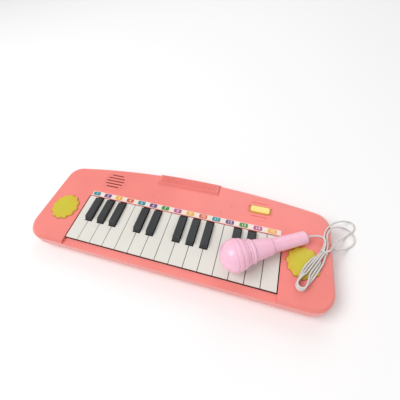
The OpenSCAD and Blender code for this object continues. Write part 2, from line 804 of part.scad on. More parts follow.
// Outline of the hank: its two sides follow the route, and each end is half a circle
function hank_side(k, side) = hank_route[k]
    + side * hank_half[k] * [-sin(heading(k)), cos(heading(k))];
last = len(hank_route) - 1;
hank_outline = concat(
    [for (k = [0 : last]) hank_side(k, -1)],
    arc(hank_route[last][0], hank_route[last][1], hank_half[last], heading(last) - 75, heading(last) + 75, 8),
    [for (k = [last : -1 : 0]) hank_side(k, 1)],
    arc(hank_route[0][0], hank_route[0][1], hank_half[0], heading(0) + 105, heading(0) + 255, 8)
);

module cord_hank() color([0.93, 0.93, 0.9])
    translate([0, 0, hank_z])
        linear_extrude(hank_t)
            polygon(hank_outline);

tie_on = 3;

module cord_tie() color([0.95, 0.95, 0.95]) {
    w = hank_half[tie_on];
    translate([hank_route[tie_on][0], hank_route[tie_on][1], 0])
        rotate([0, 0, heading(tie_on)])
            difference() {
                box(-1.6, 1.6, -w - 1.2, w + 1.2, hank_z - 0.8, hank_z + hank_t + 0.8);
                box(-2, 2, -w - 0.4, w + 0.4, hank_z - 0.1, hank_z + hank_t + 0.1);
            }
}

// Gland where the cord enters the right side of the case
gland_y = waist_cy + 4;
gland_z = joint_h + 6;
gland_x = side_x(gland_y);
bush_r = 3.4;

module gland_axis()
    translate([gland_x, gland_y, gland_z])
        rotate([0, 90, 0])
            children();

module gland_hole()
    gland_axis()
        cylinder(r = bush_r + 0.05, h = 20, center = true);

module cord_gland() color([0.93, 0.93, 0.92])
    gland_axis()
        rotate_extrude()
            polygon([
                [0, -wall - 3], [bush_r + 1.2, -wall - 3], [bush_r + 1.2, -wall - 1.4],
                [bush_r, -wall - 1.4], [bush_r, 1], [1.7, 4.9], [0, 4.9]
            ]);

top_case();
bottom_case();
key_frame();
pivot_rod();
contact_board();
contact_strip();
for (i = [0 : white_n - 1])
    white_key(i);
for (j = [0 : black_n - 1])
    black_key(j);
note_strip();
speaker_frame();
speaker_cone();
speaker_magnet();
flower_button(-1);  // flower_button_left
flower_button(1);  // flower_button_right
button_boards();
button_lamps();
switch_knob();
slide_switch();
main_board();
board_chips();
battery_door();
battery_cells();
battery_contacts();
case_screws();
feet();
mic_head();
mic_collar();
mic_handle();
mic_capsule();
mic_grommet();
cord_lead();
cord_loop_front();
cord_loop_rear();
cord_hank();
cord_tie();
cord_gland();
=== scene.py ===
import bpy
import bmesh
from math import radians, pi, sin, cos, asin
from mathutils import Matrix, Vector
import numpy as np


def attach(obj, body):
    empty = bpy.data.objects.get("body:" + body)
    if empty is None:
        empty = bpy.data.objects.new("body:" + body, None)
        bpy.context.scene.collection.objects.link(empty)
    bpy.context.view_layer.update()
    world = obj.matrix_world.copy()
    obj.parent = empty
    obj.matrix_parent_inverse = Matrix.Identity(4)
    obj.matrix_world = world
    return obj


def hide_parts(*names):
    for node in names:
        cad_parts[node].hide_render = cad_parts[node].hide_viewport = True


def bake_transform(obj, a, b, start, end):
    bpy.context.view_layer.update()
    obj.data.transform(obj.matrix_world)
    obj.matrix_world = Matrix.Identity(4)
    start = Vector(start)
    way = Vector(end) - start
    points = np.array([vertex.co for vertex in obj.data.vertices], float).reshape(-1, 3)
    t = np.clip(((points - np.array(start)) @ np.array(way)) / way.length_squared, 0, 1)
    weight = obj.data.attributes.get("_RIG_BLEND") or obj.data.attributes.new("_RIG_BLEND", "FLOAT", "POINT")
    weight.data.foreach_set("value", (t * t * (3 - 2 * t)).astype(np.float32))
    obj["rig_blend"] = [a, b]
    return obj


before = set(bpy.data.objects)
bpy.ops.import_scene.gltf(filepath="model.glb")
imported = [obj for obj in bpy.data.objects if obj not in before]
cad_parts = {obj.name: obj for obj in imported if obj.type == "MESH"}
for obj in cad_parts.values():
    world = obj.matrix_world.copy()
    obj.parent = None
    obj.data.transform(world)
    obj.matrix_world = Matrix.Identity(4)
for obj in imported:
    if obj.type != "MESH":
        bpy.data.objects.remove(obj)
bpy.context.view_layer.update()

scene = bpy.context.scene
mm = 0.001

# lengths are in millimetres in the part's own frame, and are turned into metres where they are
# used; only the lights and the floor are in metres


def deselectAll():
    if bpy.context.object and bpy.context.object.mode != "OBJECT":
        bpy.ops.object.mode_set(mode="OBJECT")
    bpy.ops.object.select_all(action="DESELECT")


def pick(piece):
    deselectAll()
    piece.select_set(True)
    bpy.context.view_layer.objects.active = piece


def applyModifiers(piece):
    pick(piece)
    for modifier in list(piece.modifiers):
        bpy.ops.object.modifier_apply(modifier=modifier.name)


def roundEdges(piece, width, segments, angle=50):
    # a bevel along every edge that is sharper than the angle
    bevel = piece.modifiers.new("edges", "BEVEL")
    bevel.width = width * mm
    bevel.segments = segments
    bevel.limit_method = "ANGLE"
    bevel.angle_limit = radians(angle)


def setInputs(node, values):
    for name, value in values.items():
        node.inputs[name].default_value = value


def srgb(r, g, b):
    # screen colour, 0 to 255, to the linear colour that a shader takes
    def one(c):
        c /= 255
        return c / 12.92 if c <= 0.04045 else ((c + 0.055) / 1.055) ** 2.4
    return (one(r), one(g), one(b), 1)


def setMaterial(piece, material):
    piece.data.materials.clear()
    piece.data.materials.append(material)


def placeMesh(piece, matrix):
    piece.data.transform(matrix)
    piece.matrix_world = Matrix.Identity(4)


def moveMesh(piece, x, y, z):
    placeMesh(piece, Matrix.Translation(Vector((x, y, z)) * mm))


def smoothShade(piece, angle):
    pick(piece)
    bpy.ops.object.shade_smooth_by_angle(angle=radians(angle))


# camera, lights and floor

cameraSetup = {
    "place": (100.9, -155.8, 345.7),
    "right": (0.9558, 0.2812, -0.0856),
    "down": (0.1589, -0.7393, -0.6543),
    "lens": 25.2, "sensor": 36,
    "shiftX": 0.01, "shiftY": -0.1,
    "clipStart": 10,
}


def makeCamera(setup):
    data = bpy.data.cameras.new("camera")
    data.lens = setup["lens"]
    data.sensor_width = setup["sensor"]
    data.shift_x = setup["shiftX"]
    data.shift_y = setup["shiftY"]
    data.clip_start = setup["clipStart"] * mm
    camera = bpy.data.objects.new("camera", data)
    scene.collection.objects.link(camera)
    right = Vector(setup["right"]).normalized()
    up = -Vector(setup["down"])
    up = (up - right * up.dot(right)).normalized()
    back = right.cross(up)
    turn = Matrix((right, up, back)).transposed().to_4x4()
    camera.matrix_world = Matrix.Translation(Vector(setup["place"]) * mm) @ turn
    scene.camera = camera


lightSetup = {
    "key": {"place": (-0.9, -0.5, 1.7), "size": 1.1, "power": 23},
    "fill": {"place": (1.2, -0.8, 1.1), "size": 1.2, "power": 3.4},
    "rear": {"place": (0.1, 1.2, 1.2), "size": 1.2, "power": 5},
}
studioFacts = {"aim": (0, 0, 0.02), "worldStrength": 0.45}
floorFacts = {"size": 6, "tone": 0.96, "rough": 0.9}


def makeLights(setup):
    aim = Vector(studioFacts["aim"])
    for name, facts in setup.items():
        data = bpy.data.lights.new(name + "Light", "AREA")
        data.shape = "SQUARE"
        data.size = facts["size"]
        data.energy = facts["power"]
        light = bpy.data.objects.new(name + "Light", data)
        scene.collection.objects.link(light)
        light.location = facts["place"]
        light.rotation_euler = (aim - light.location).to_track_quat("-Z", "Y").to_euler()


def makeWorld():
    world = bpy.data.worlds.new("studio")
    scene.world = world
    world.use_nodes = True
    setInputs(world.node_tree.nodes["Background"],
              {"Color": (1, 1, 1, 1), "Strength": studioFacts["worldStrength"]})


def makeFloor():
    bpy.ops.mesh.primitive_plane_add(size=floorFacts["size"], location=(0, 0, 0))
    floor = bpy.context.object
    floor.name = "floor"
    material = bpy.data.materials.new("paleFloor")
    material.use_nodes = True
    tone = floorFacts["tone"]
    setInputs(material.node_tree.nodes["Principled BSDF"],
              {"Base Color": (tone, tone, tone, 1), "Roughness": floorFacts["rough"]})
    setMaterial(floor, material)


makeCamera(cameraSetup)
makeLights(lightSetup)
makeWorld()
makeFloor()
scene.view_settings.view_transform = "Standard"
print("stage: camera, lights and floor")

# materials: one maker for moulded plastic, with fine grain and a slight drift of tone and gloss

plasticFacts = {
    "cloudScale": 22, "cloudDetail": 3, "cloudLow": 0.3, "cloudHigh": 0.7,
    "speckDetail": 2, "bumpDepth": 0.2, "coatRough": 0.12, "ior": 1.5, "glowScale": 2,
    "glossier": 0.85, "duller": 1.2,
}


def plastic(name, colour, drift=0.06, rough=0.28, grain=0.04, grainSize=900, coat=0.25,
            glow=0.0, spread=(2, 1, 1), passing=0.0, low=None):
    material = bpy.data.materials.new(name)
    material.use_nodes = True
    tree = material.node_tree
    nodes = tree.nodes
    links = tree.links
    shader = nodes["Principled BSDF"]
    place = nodes.new("ShaderNodeTexCoord")
    cloud = nodes.new("ShaderNodeTexNoise")
    setInputs(cloud, {"Scale": plasticFacts["cloudScale"], "Detail": plasticFacts["cloudDetail"]})
    links.new(place.outputs["Object"], cloud.inputs["Vector"])
    tone = nodes.new("ShaderNodeValToRGB")
    darker = [c * (1 - drift) for c in colour[:3]] + [1]
    lighter = [min(1, c * (1 + drift)) for c in colour[:3]] + [1]
    tone.color_ramp.elements[0].position = plasticFacts["cloudLow"]
    tone.color_ramp.elements[0].color = darker
    tone.color_ramp.elements[1].position = plasticFacts["cloudHigh"]
    tone.color_ramp.elements[1].color = lighter
    links.new(cloud.outputs["Fac"], tone.inputs["Fac"])
    colourOut = tone.outputs["Color"]
    if low:
        # painted shade: a darker colour below a height, standing for the shade between the keys and down the
        # side of a button, where it also gives the button's orange rim
        split = nodes.new("ShaderNodeSeparateXYZ")
        links.new(place.outputs["Object"], split.inputs["Vector"])
        rise = nodes.new("ShaderNodeMapRange")
        setInputs(rise, {"From Min": low["from"] * mm, "From Max": low["to"] * mm})
        links.new(split.outputs["Z"], rise.inputs["Value"])
        blend = nodes.new("ShaderNodeMix")
        blend.data_type = "RGBA"
        blend.inputs["A"].default_value = low["colour"]
        links.new(rise.outputs["Result"], blend.inputs["Factor"])
        links.new(colourOut, blend.inputs["B"])
        colourOut = blend.outputs["Result"]
    links.new(colourOut, shader.inputs["Base Color"])
    speck = nodes.new("ShaderNodeTexNoise")
    setInputs(speck, {"Scale": grainSize, "Detail": plasticFacts["speckDetail"]})
    links.new(place.outputs["Object"], speck.inputs["Vector"])
    matte = nodes.new("ShaderNodeMapRange")
    setInputs(matte, {
        "From Min": plasticFacts["cloudLow"], "From Max": plasticFacts["cloudHigh"],
        "To Min": rough * plasticFacts["glossier"], "To Max": rough * plasticFacts["duller"],
    })
    links.new(cloud.outputs["Fac"], matte.inputs["Value"])
    links.new(matte.outputs["Result"], shader.inputs["Roughness"])
    bump = nodes.new("ShaderNodeBump")
    setInputs(bump, {"Strength": grain, "Distance": plasticFacts["bumpDepth"] * mm})
    links.new(speck.outputs["Fac"], bump.inputs["Height"])
    links.new(bump.outputs["Normal"], shader.inputs["Normal"])
    setInputs(shader, {
        "Coat Weight": coat, "Coat Roughness": plasticFacts["coatRough"], "IOR": plasticFacts["ior"],
    })
    if glow:
        setInputs(shader, {
            "Subsurface Weight": glow, "Subsurface Radius": spread,
            "Subsurface Scale": plasticFacts["glowScale"] * mm,
        })
    if passing:
        setInputs(shader, {"Transmission Weight": passing})
    return material


coral = plastic("coralPlastic", srgb(241, 134, 126), drift=0.04, rough=0.3, coat=0.3)
# the white keys are painted dark grey below 27.5 mm: painted shade down their sides and fronts, in the gaps
# between the keys
ivory = plastic("whiteKeyPlastic", srgb(225, 222, 214), drift=0.02, rough=0.22, coat=0.35,
                low={"from": 25.6, "to": 27.5, "colour": srgb(70, 66, 64)})
charcoal = plastic("blackKeyPlastic", srgb(46, 48, 50), drift=0.12, rough=0.38, grain=0.15,
                   coat=0.1)
bubblegum = plastic("microphonePlastic", srgb(255, 196, 217), drift=0.02, rough=0.32, coat=0.2,
                    glow=0.35, spread=(2.5, 1.6, 1.8))
# the knob cap is painted darker orange below 30.6 mm: painted shade down its sides, along with the orange of
# its rim
lemon = plastic("paleYellowPlastic", srgb(250, 226, 132), drift=0.03, rough=0.25, coat=0.3,
                low={"from": 29.6, "to": 30.6, "colour": srgb(222, 178, 60)})
amber = plastic("amberPlastic", srgb(214, 150, 62), drift=0.05, rough=0.3, coat=0.3)
stripFilm = plastic("stripFilm", srgb(236, 222, 212), drift=0.03, rough=0.3, coat=0.3)
whiteInk = plastic("whiteInk", srgb(245, 240, 235), drift=0.01, rough=0.4, coat=0.2)
# the key frame's dark grey is partly its own colour and partly painted shade, so that the gaps between the
# keys read dark
innerShadeGrey = plastic("innerPlastic", srgb(70, 68, 66), drift=0.06, rough=0.5, coat=0)
vinyl = plastic("milkyVinyl", srgb(214, 210, 207), drift=0.07, rough=0.25, coat=0.3, glow=0.2)
silicone = plastic("greySilicone", srgb(120, 120, 120), drift=0.05, rough=0.6, coat=0)
footRubber = plastic("footRubber", srgb(60, 58, 58), drift=0.1, rough=0.75, grain=0.3, coat=0)
boardGreen = plastic("boardGreen", srgb(42, 92, 60), drift=0.1, rough=0.4, grain=0.1,
                     coat=0.4)
chipBlack = plastic("chipBlack", srgb(40, 40, 42), drift=0.1, rough=0.5, coat=0)
paperBlack = plastic("conePaper", srgb(70, 45, 44), drift=0.2, rough=0.85, grain=0.5,
                     grainSize=500, coat=0)
cellSleeve = plastic("cellSleeve", srgb(46, 50, 60), drift=0.08, rough=0.3, coat=0.4)
lampClear = plastic("lampLens", srgb(240, 240, 232), drift=0.02, rough=0.1, coat=0,
                    passing=0.4)

labelColours = {
    "teal": srgb(40, 140, 148), "purple": srgb(118, 72, 128), "yellow": srgb(232, 172, 62),
    "orange": srgb(214, 92, 50), "green": srgb(70, 140, 62), "pink": srgb(182, 84, 138),
}
labelInks = {
    name: plastic(name + "Ink", colour, drift=0.04, rough=0.3, coat=0.3)
    for name, colour in labelColours.items()
}


flowerFacts = {
    "x": 156, "y": -17.5, "petals": 12, "rimFrom": 9, "rimTo": 17.5, "patchScale": 70,
    "grooveStrength": 0.2, "grooveDepth": 0.6,
}


def flowerPlastic():
    # yellow-green in the middle, with orange at the scalloped rim and grooves between the petals
    # below 30.3 mm the flower is painted darker orange: painted shade down its sides, along with the orange
    # of its rim
    material = plastic("flowerPlastic", srgb(203, 192, 46), drift=0.05, rough=0.3, coat=0.35,
                       low={"from": 29.2, "to": 30.3, "colour": srgb(214, 158, 48)})
    tree = material.node_tree
    nodes = tree.nodes
    links = tree.links
    shader = nodes["Principled BSDF"]
    place = nodes.new("ShaderNodeTexCoord")
    split = nodes.new("ShaderNodeSeparateXYZ")
    links.new(place.outputs["Object"], split.inputs["Vector"])

    def sums(operation, first, second=None):
        node = nodes.new("ShaderNodeMath")
        node.operation = operation
        for k, value in enumerate((first, second)):
            if value is None:
                continue
            if isinstance(value, (int, float)):
                node.inputs[k].default_value = value
            else:
                links.new(value, node.inputs[k])
        return node.outputs["Value"]

    across = sums("SUBTRACT", sums("ABSOLUTE", split.outputs["X"]), flowerFacts["x"] * mm)
    along = sums("SUBTRACT", split.outputs["Y"], flowerFacts["y"] * mm)
    squares = sums("ADD", sums("MULTIPLY", across, across), sums("MULTIPLY", along, along))
    radius = sums("SQRT", squares)
    angle = sums("ARCTAN2", along, across)
    petal = sums("COSINE", sums("MULTIPLY", angle, flowerFacts["petals"]))
    nearRim = nodes.new("ShaderNodeMapRange")
    setInputs(nearRim, {
        "From Min": flowerFacts["rimFrom"] * mm, "From Max": flowerFacts["rimTo"] * mm,
    })
    links.new(radius, nearRim.inputs["Value"])
    cloud = nodes.new("ShaderNodeTexNoise")
    setInputs(cloud, {"Scale": flowerFacts["patchScale"]})
    links.new(place.outputs["Object"], cloud.inputs["Vector"])
    patchy = sums("MULTIPLY", nearRim.outputs["Result"], cloud.outputs["Fac"])
    blend = nodes.new("ShaderNodeMix")
    blend.data_type = "RGBA"
    old = shader.inputs["Base Color"].links[0].from_socket
    links.new(old, blend.inputs["A"])
    blend.inputs["B"].default_value = srgb(224, 172, 58)
    links.new(patchy, blend.inputs["Factor"])
    links.new(blend.outputs["Result"], shader.inputs["Base Color"])
    groove = nodes.new("ShaderNodeBump")
    setInputs(groove, {
        "Strength": flowerFacts["grooveStrength"], "Distance": flowerFacts["grooveDepth"] * mm,
    })
    links.new(sums("MULTIPLY", petal, nearRim.outputs["Result"]), groove.inputs["Height"])
    links.new(shader.inputs["Normal"].links[0].from_socket, groove.inputs["Normal"])
    links.new(groove.outputs["Normal"], shader.inputs["Normal"])
    return material


flowerYellow = flowerPlastic()


def metal(name, colour, rough=0.3):
    material = plastic(name, colour, drift=0.08, rough=rough, grain=0.1, grainSize=1500, coat=0)
    setInputs(material.node_tree.nodes["Principled BSDF"], {"Metallic": 1})
    return material


steel = metal("platedSteel", srgb(196, 198, 202))
darkMetal = metal("darkPlatedSteel", srgb(120, 120, 124), rough=0.45)
print("stage: materials")

# the cord: one limp lead from the microphone to the gland in the right side, with six runs in a
# tied hank, made as two pieces that meet behind the tie

cordFacts = {
    "diameter": 2.0,
    "lead": [
        (157.6, 11, 36.8), (161.2, 13, 36.1), (165.6, 14.7, 35.6), (170, 15.4, 35.8),
        (172.6, 15.2, 36), (174.8, 14.3, 36.2), (176.3, 12.6, 36.3), (176.9, 9.4, 36.3),
    ],
    "loopRear": [
        (176.5, 10, 33), (176.7, 15, 31.2), (177, 20, 30.1), (178.2, 26, 30.1), (181, 32, 30.4),
        (185.8, 38, 29.3), (191.5, 44.8, 24), (198, 51.6, 17), (204.8, 58, 9.5), (210.6, 62.2, 3.8),
        (215.6, 63.4, 1.4), (219.4, 61, 1.1), (220.3, 56.2, 1.1), (217.6, 50.4, 1.1), (213, 45, 1.1),
        (207, 38.4, 3.4), (201, 31, 9.5), (195.3, 23.4, 17), (190.2, 16.4, 24.2), (186.6, 10.6, 29.2),
        (184.4, 6, 32.2), (183, 2.6, 33.6),
    ],
    "loopFront": [
        (180, 9.8, 33), (180, 15, 31.2), (180.2, 20, 30.1), (181, 24.6, 30.1), (183.2, 29.2, 30),
        (186.6, 33.8, 27.8), (191, 38.8, 22.6), (197, 44.6, 15), (203.6, 49, 8), (209.6, 50.2, 4.6),
        (214.6, 47, 3.9), (218.4, 42.4, 2.4), (219.4, 37.4, 1.1), (216.6, 31.6, 1.1), (211.8, 26.6, 1.6),
        (207, 22, 4.6), (203, 18, 9.5), (199, 14.4, 14.6), (195.2, 12, 17.6), (191, 11.5, 18),
    ],
    "hankRoute": [(153.8, -43.6), (162.2, -26), (170.2, -12), (176, -1.6), (178.2, 4.6)],
    "hankBottom": 31.3,
    "foldRadius": 4.5,
    "rearFold": {"at": 33, "radius": 4.3, "centre": 1.0},
    "leadBend": [(176.2, 3.5, 35.4)],
    "frontBend": [(179.6, 3.4, 32.8)],
    "rearBend": [(175.4, 4.6, 32.7)],
    "toSeam": [(181.6, 0.9, 34.8), (179.4, -0.6, 34.9), (176.9, -2.1, 33.8)],
}

# each run of the hank: distance from the front fold, place across (left is plus), and height
# over the lowest layer
runTables = {
    1: [(6, 4.0, 3.9), (10, 3.1, 3.4), (16, 1.6, 0.9), (20, 1.4, 0.1), (26, 1.4, 0.1), (31, 1.3, 1.6),
        (36, 1.2, 2.1), (42, 1.1, 2.1), (47.5, 1.05, 1.5)],
    2: [(6, -4.0, 3.9), (10, -3.1, 3.4), (16, -1.6, 0.9), (20, -1.4, 0.1), (26, -1.4, 0.1),
        (31, -1.3, 1.6), (36, -1.2, 2.1), (42, -1.1, 2.1), (47.5, -1.05, 1.5)],
    3: [(5, 4.3, 2.0), (10, 4.3, 1.6), (16, 4.1, 0.1), (22, 4.0, 0), (28, 3.7, 0.6), (33, 3.3, 2.1),
        (39, 2.9, 2.0), (44, 2.7, 0.6), (47.5, 2.6, 0)],
    4: [(5, -4.3, 2.0), (10, -4.3, 1.6), (16, -4.1, 0.1), (22, -4.1, 0), (28, -3.8, 0), (33, -3.4, 0)],
    5: [(5, 4.9, 0), (10, 5.7, 0), (16, 6.3, 0), (22, 6.4, 0), (28, 6.0, 0), (33, 5.3, 0)],
    6: [(5, -4.9, 0), (10, -5.7, 0), (16, -6.4, 0), (24, -6.5, 0), (30, -6.2, 0),
        (36, -5.6, 0), (42, -4.2, 0), (47.5, -2.6, 0)],
}


def routePoint(distance, across, height):
    # a point of the hank, from its distance along the hank's middle line
    route = [Vector(p) for p in cordFacts["hankRoute"]]
    left = distance
    for k in range(len(route) - 1):
        step = route[k + 1] - route[k]
        if left <= step.length or k == len(route) - 2:
            break
        left -= step.length
    here = route[k] + step.normalized() * left
    before = route[max(k - 1, 0)]
    after = route[min(k + 2, len(route) - 1)]
    share = min(max(left / step.length, 0), 1)
    startHeading = (route[k + 1] - before).normalized()
    endHeading = (after - route[k]).normalized()
    heading = (startHeading * (1 - share) + endHeading * share).normalized()
    side = Vector((-heading.y, heading.x))
    place = here + side * across
    base = cordFacts["hankBottom"] + cordFacts["diameter"] / 2
    return Vector((place.x, place.y, base + height))


def run(number, reverse=False):
    points = [routePoint(*row) for row in runTables[number]]
    return points[::-1] if reverse else points


def fold(middle, radius, centre, height, toFront, fromLeft):
    # half a turn at one end of the hank
    points = []
    for k in range(7):
        angle = pi * k / 6
        across = centre + radius * cos(angle) * (1 if fromLeft else -1)
        along = middle + (-1 if toFront else 1) * radius * sin(angle)
        points.append(routePoint(along, across, height))
    return points


def stretch(name):
    return [Vector(p) for p in cordFacts[name]]


def makeCord(name, points):
    data = bpy.data.curves.new(name, "CURVE")
    data.dimensions = "3D"
    data.resolution_u = 5
    data.bevel_depth = cordFacts["diameter"] / 2 * mm
    data.bevel_resolution = 3
    data.use_fill_caps = True
    spline = data.splines.new("BEZIER")
    spline.bezier_points.add(len(points) - 1)
    for knot, point in zip(spline.bezier_points, points):
        knot.co = point * mm
        knot.handle_left_type = "AUTO"
        knot.handle_right_type = "AUTO"
    cord = bpy.data.objects.new(name, data)
    scene.collection.objects.link(cord)
    return cord


def curveLine(cord):
    # the smooth centre line of a cord, close enough together to have its length
    data = cord.data
    depth = data.bevel_depth
    data.bevel_depth = 0
    caps = data.use_fill_caps
    data.use_fill_caps = False
    bpy.context.view_layer.update()
    graph = bpy.context.evaluated_depsgraph_get()
    line = bpy.data.meshes.new_from_object(cord.evaluated_get(graph))
    points = [v.co.copy() for v in line.vertices]
    bpy.data.meshes.remove(line)
    data.bevel_depth = depth
    data.use_fill_caps = caps
    bpy.context.view_layer.update()
    return points


def makeCords():
    radius = cordFacts["foldRadius"]
    rear = cordFacts["rearFold"]
    rearTurn = fold(rear["at"], rear["radius"], rear["centre"], 0, toFront=False, fromLeft=True)
    leadPoints = (
        stretch("lead") + stretch("leadBend") + run(1, reverse=True)
        + fold(1, radius, 0, 4.1, toFront=True, fromLeft=True) + run(2)
    )
    hankPoints = (
        stretch("loopFront")[::-1] + stretch("frontBend")
        + run(6, reverse=True) + fold(-0.5, radius, 0, 0, toFront=True, fromLeft=False)
        + run(5) + rearTurn[1:-1]
        + run(4, reverse=True) + fold(0, radius, 0, 2.05, toFront=True, fromLeft=False)
        + run(3) + stretch("rearBend") + stretch("loopRear") + stretch("toSeam")
    )
    lead = makeCord("microphoneLead", leadPoints)
    main = makeCord("cordAndHank", hankPoints)
    mainLine = curveLine(main)
    leadLine = curveLine(lead)
    setMaterial(main, vinyl)
    setMaterial(lead, vinyl)
    pick(lead)
    bpy.ops.object.convert(target="MESH")
    lead = bpy.context.object
    bpy.ops.object.shade_smooth()
    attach(main, "casing")
    start = leadPoints[0] * mm
    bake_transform(lead, "microphone", "casing", start=tuple(start),
             end=tuple(start + Vector((6.9, -9.2, 0)) * mm))
    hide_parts("cord_loop_front", "cord_loop_rear", "cord_hank")
    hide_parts("cord_lead")


makeCords()
print("stage: cords")

# softened copies of the CAD shells: merged, cleaned, rounded along their edges, and shaded so
# that the large flat faces stay flat

shellFacts = {"mergeWithin": 0.01, "dissolveAngle": 0.5, "bevelAngle": 30, "smoothAngle": 40}


def softened(node, body, material, width, segments, rim=None):
    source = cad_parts[node]
    piece = bpy.data.objects.new(node + "Shell", source.data.copy())
    scene.collection.objects.link(piece)
    pick(piece)
    bpy.ops.object.mode_set(mode="EDIT")
    bpy.ops.mesh.select_all(action="SELECT")
    bpy.ops.mesh.remove_doubles(threshold=shellFacts["mergeWithin"] * mm)
    bpy.ops.mesh.dissolve_limited(angle_limit=radians(shellFacts["dissolveAngle"]))
    if rim:
        bpy.ops.mesh.select_all(action="DESELECT")
        bpy.ops.mesh.select_mode(type="EDGE")
        shape = bmesh.from_edit_mesh(piece.data)
        for edge in shape.edges:
            if rim["test"](edge):
                edge.select_set(True)
        bmesh.update_edit_mesh(piece.data)
        bpy.ops.mesh.bevel(offset=rim["width"] * mm, segments=rim["segments"],
                           affect="EDGES", clamp_overlap=True)
    bpy.ops.object.mode_set(mode="OBJECT")
    roundEdges(piece, width, segments, shellFacts["bevelAngle"])
    applyModifiers(piece)
    for part in piece.data.attributes:
        if part.name == "custom_normal":
            piece.data.attributes.remove(part)
            break
    smoothShade(piece, shellFacts["smoothAngle"])
    weighted = piece.modifiers.new("flatFaces", "WEIGHTED_NORMAL")
    weighted.keep_sharp = True
    applyModifiers(piece)
    setMaterial(piece, material)
    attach(piece, body)
    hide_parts(node)


caseFacts = {
    "topHeight": 29, "edgeHeight": 26, "within": 0.05, "tiltFrom": 0.6, "tiltTo": 0.8,
    "tiltChange": 0.2, "rimWidth": 1.6, "rimSegments": 4,
}


def isRimEdge(edge):
    # the edges between the chamfer round the top and the faces beside it
    if len(edge.link_faces) != 2:
        return False
    facts = caseFacts
    tilts = sorted(abs(face.normal.z) for face in edge.link_faces)
    low = min(v.co.z for v in edge.verts) / mm
    high = max(v.co.z for v in edge.verts) / mm
    level = abs(high - low) < facts["within"]
    near = any(abs(low - facts[name]) < facts["within"] for name in ("topHeight", "edgeHeight"))
    slanted = any(facts["tiltFrom"] < tilt < facts["tiltTo"] for tilt in tilts)
    return level and near and slanted and tilts[1] - tilts[0] > facts["tiltChange"]


rimFacts = {"test": isRimEdge, "width": caseFacts["rimWidth"], "segments": caseFacts["rimSegments"]}
softened("top_case", "casing", coral, width=0.35, segments=2, rim=rimFacts)
softened("bottom_case", "casing", coral, width=0.4, segments=2)
softened("battery_door", "casing", coral, width=0.3, segments=2)
print("stage: casing")

keyFacts = {
    "white_key": {"material": ivory, "width": 0.5, "segments": 3},
    "black_key": {"material": charcoal, "width": 0.8, "segments": 3},
}
for node in sorted(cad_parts):
    for kind, facts in keyFacts.items():
        if node.startswith(kind):
            softened(node, node + "_body", facts["material"], facts["width"],
                     facts["segments"])
print("stage: keys")

for side in ("left", "right"):
    softened("flower_button_" + side, "button_" + side, flowerYellow,
             width=0.5, segments=3)
softened("note_strip", "casing", stripFilm, width=0.12, segments=1)
softened("mic_grommet", "microphone", vinyl, width=0.15, segments=2)
softened("cord_gland", "casing", vinyl, width=0.2, segments=2)
print("stage: buttons, strip and cord ends")

# the knob of the slide switch, with a darker skirt round its foot

knobFacts = {
    "x": 101, "y": 38, "roundSegments": 3,
    "cap": {
        "width": 23.5, "depth": 8.5, "bottom": 28.3, "thick": 2.7, "corner": 2.2, "round": 0.7,
    },
    "skirt": {
        "width": 25.8, "depth": 11.2, "bottom": 29.08, "thick": 0.5, "corner": 2.8, "round": 0.15,
    },
}


def plate(name, width, depth, thick, corner, cornerSteps=4):
    # a flat plate with round corners, its underside at height nought
    bpy.ops.mesh.primitive_plane_add(size=1, location=(0, 0, 0))
    piece = bpy.context.object
    piece.name = name
    piece.scale = (width * mm, depth * mm, 1)
    pick(piece)
    bpy.ops.object.transform_apply(location=False, rotation=False, scale=True)
    bpy.ops.object.mode_set(mode="EDIT")
    bpy.ops.mesh.select_all(action="SELECT")
    bpy.ops.mesh.bevel(offset=corner * mm, segments=cornerSteps, affect="VERTICES")
    bpy.ops.mesh.select_all(action="SELECT")
    bpy.ops.mesh.extrude_region_move(TRANSFORM_OT_translate={"value": (0, 0, thick * mm)})
    bpy.ops.mesh.select_all(action="SELECT")
    bpy.ops.mesh.normals_make_consistent(inside=False)
    bpy.ops.object.mode_set(mode="OBJECT")
    return piece


def makeKnob():
    for part, material in (("cap", lemon), ("skirt", amber)):
        facts = knobFacts[part]
        piece = plate("knob" + part.capitalize(), facts["width"], facts["depth"],
                      facts["thick"], facts["corner"])
        roundEdges(piece, facts["round"], knobFacts["roundSegments"])
        applyModifiers(piece)
        moveMesh(piece, knobFacts["x"], knobFacts["y"], facts["bottom"])
        smoothShade(piece, 40)
        setMaterial(piece, material)
        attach(piece, "knob")
        if part == "cap":
            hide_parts("switch_knob")


makeKnob()
print("stage: knob")

# the microphone: its place is the middle of the head, and each outline is in pairs of radius
# and distance along its axis from there

micFacts = {
    "at": (83.85, -35.4, 49.51), "yaw": 32.2, "dip": 8.33, "headRadius": 18.2,
    "domeEnd": -3.4, "domeSteps": 24, "turnSteps": 72, "smoothAngle": 50,
}


def micMatrix():
    return (
        Matrix.Translation(Vector(micFacts["at"]) * mm)
        @ Matrix.Rotation(radians(micFacts["yaw"]), 4, "Z")
        @ Matrix.Rotation(radians(90 + micFacts["dip"]), 4, "Y")
    )


def lathe(name, outline, matrix):
    # a solid turned about the height axis, and then put in its place
    mesh = bpy.data.meshes.new(name)
    points = [(radius * mm, 0, distance * mm) for radius, distance in outline]
    mesh.from_pydata(points, [(k, k + 1) for k in range(len(points) - 1)], [])
    piece = bpy.data.objects.new(name, mesh)
    scene.collection.objects.link(piece)
    pick(piece)
    bpy.ops.object.mode_set(mode="EDIT")
    bpy.ops.mesh.select_all(action="SELECT")
    bpy.ops.mesh.spin(steps=micFacts["turnSteps"], angle=2 * pi, center=(0, 0, 0), axis=(0, 0, 1))
    bpy.ops.mesh.select_all(action="SELECT")
    bpy.ops.mesh.remove_doubles(threshold=shellFacts["mergeWithin"] * mm)
    bpy.ops.mesh.normals_make_consistent(inside=False)
    bpy.ops.object.mode_set(mode="OBJECT")
    placeMesh(piece, matrix)
    smoothShade(piece, micFacts["smoothAngle"])
    return piece


